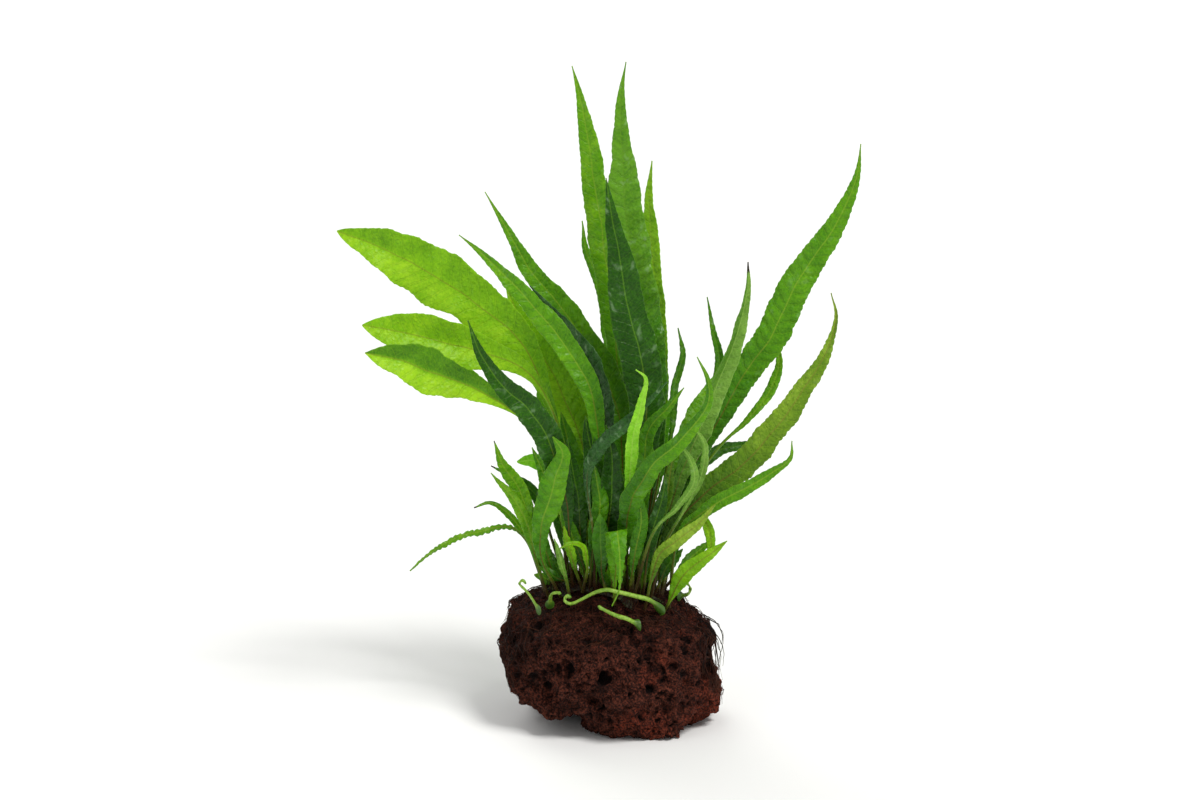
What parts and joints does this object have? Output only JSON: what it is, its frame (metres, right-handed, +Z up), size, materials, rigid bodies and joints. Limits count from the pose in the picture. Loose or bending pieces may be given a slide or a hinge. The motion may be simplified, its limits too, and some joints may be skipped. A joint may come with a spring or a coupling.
{
  "type": "java fern on stone",
  "caption": "Java fern with long strap-like fronds rising from a creeping rhizome, grown onto a rough lava stone with a flat base, for furnishing an aquarium.",
  "frame": {"origin": "on the flat underside of the stone, below its middle", "axes": "+Z up, -Y towards the front of the plant, +X to the viewer's right"},
  "size_m": [0.236, 0.1259, 0.2996],
  "materials": {
    "lava_stone": "dull, porous, red-brown",
    "rhizome": "dull, scaly, olive brown",
    "hair_root": "dull, felted, black-brown",
    "leaf_bright": "satin, bright yellow-green",
    "leaf_mid": "satin, mid green",
    "leaf_dark": "glossy, dark green",
    "young_stem": "satin, light yellow-green"
  },
  "bodies": {
    "root": {"frond_back_left": "leaf_mid", "frond_back_low": "leaf_bright", "frond_back_middle": "leaf_dark", "frond_back_right": "leaf_mid", "frond_behind_centre": "leaf_mid", "frond_blue_green": "leaf_dark", "frond_curly_sliver": "leaf_dark", "frond_dark_centre": "leaf_dark", "frond_dark_crossing": "leaf_dark", "frond_edge_on": "leaf_mid", "frond_front_folded": "leaf_bright", "frond_front_hanging": "leaf_mid", "frond_front_left": "leaf_mid", "frond_inner_dark": "leaf_dark", "frond_inner_left": "leaf_mid", "frond_inner_right": "leaf_dark", "frond_inner_right_dark": "leaf_dark", "frond_inner_rounded": "leaf_mid", "frond_inner_small": "leaf_mid", "frond_left_arch": "leaf_mid", "frond_left_broad_low": "leaf_bright", "frond_left_broad_middle": "leaf_bright", "frond_left_broad_top": "leaf_bright", "frond_left_dark": "leaf_dark", "frond_left_lime": "leaf_bright", "frond_left_long_arch": "leaf_mid", "frond_left_low": "leaf_mid", "frond_left_low_dark": "leaf_dark", "frond_left_low_front": "leaf_mid", "frond_left_pale": "leaf_bright", "frond_lime_front": "leaf_bright", "frond_pale_left": "leaf_bright", "frond_pale_right": "leaf_bright", "frond_right_behind": "leaf_dark", "frond_right_bright_strip": "leaf_bright", "frond_right_drooping": "leaf_bright", "frond_right_folded": "leaf_dark", "frond_right_lime_behind": "leaf_bright", "frond_right_long": "leaf_mid", "frond_right_low": "leaf_mid", "frond_right_outer": "leaf_mid", "frond_right_short": "leaf_bright", "frond_right_small_curved": "leaf_mid", "frond_right_thin": "leaf_dark", "frond_rippled": "leaf_mid", "frond_small_arch": "leaf_bright", "frond_small_grey": "leaf_mid", "frond_tall_centre": "leaf_dark", "frond_tall_left": "leaf_mid", "frond_upper_left": "leaf_mid", "frond_upper_left_low": "leaf_mid", "hair_roots_left": "hair_root", "hair_roots_right": "hair_root", "rhizome": "rhizome", "stone": "lava_stone", "young_frond_front": "young_stem", "young_frond_left": "young_stem", "young_frond_long": "young_stem", "young_frond_right": "young_stem", "young_frond_short": "young_stem"}
  },
  "joints": []
}
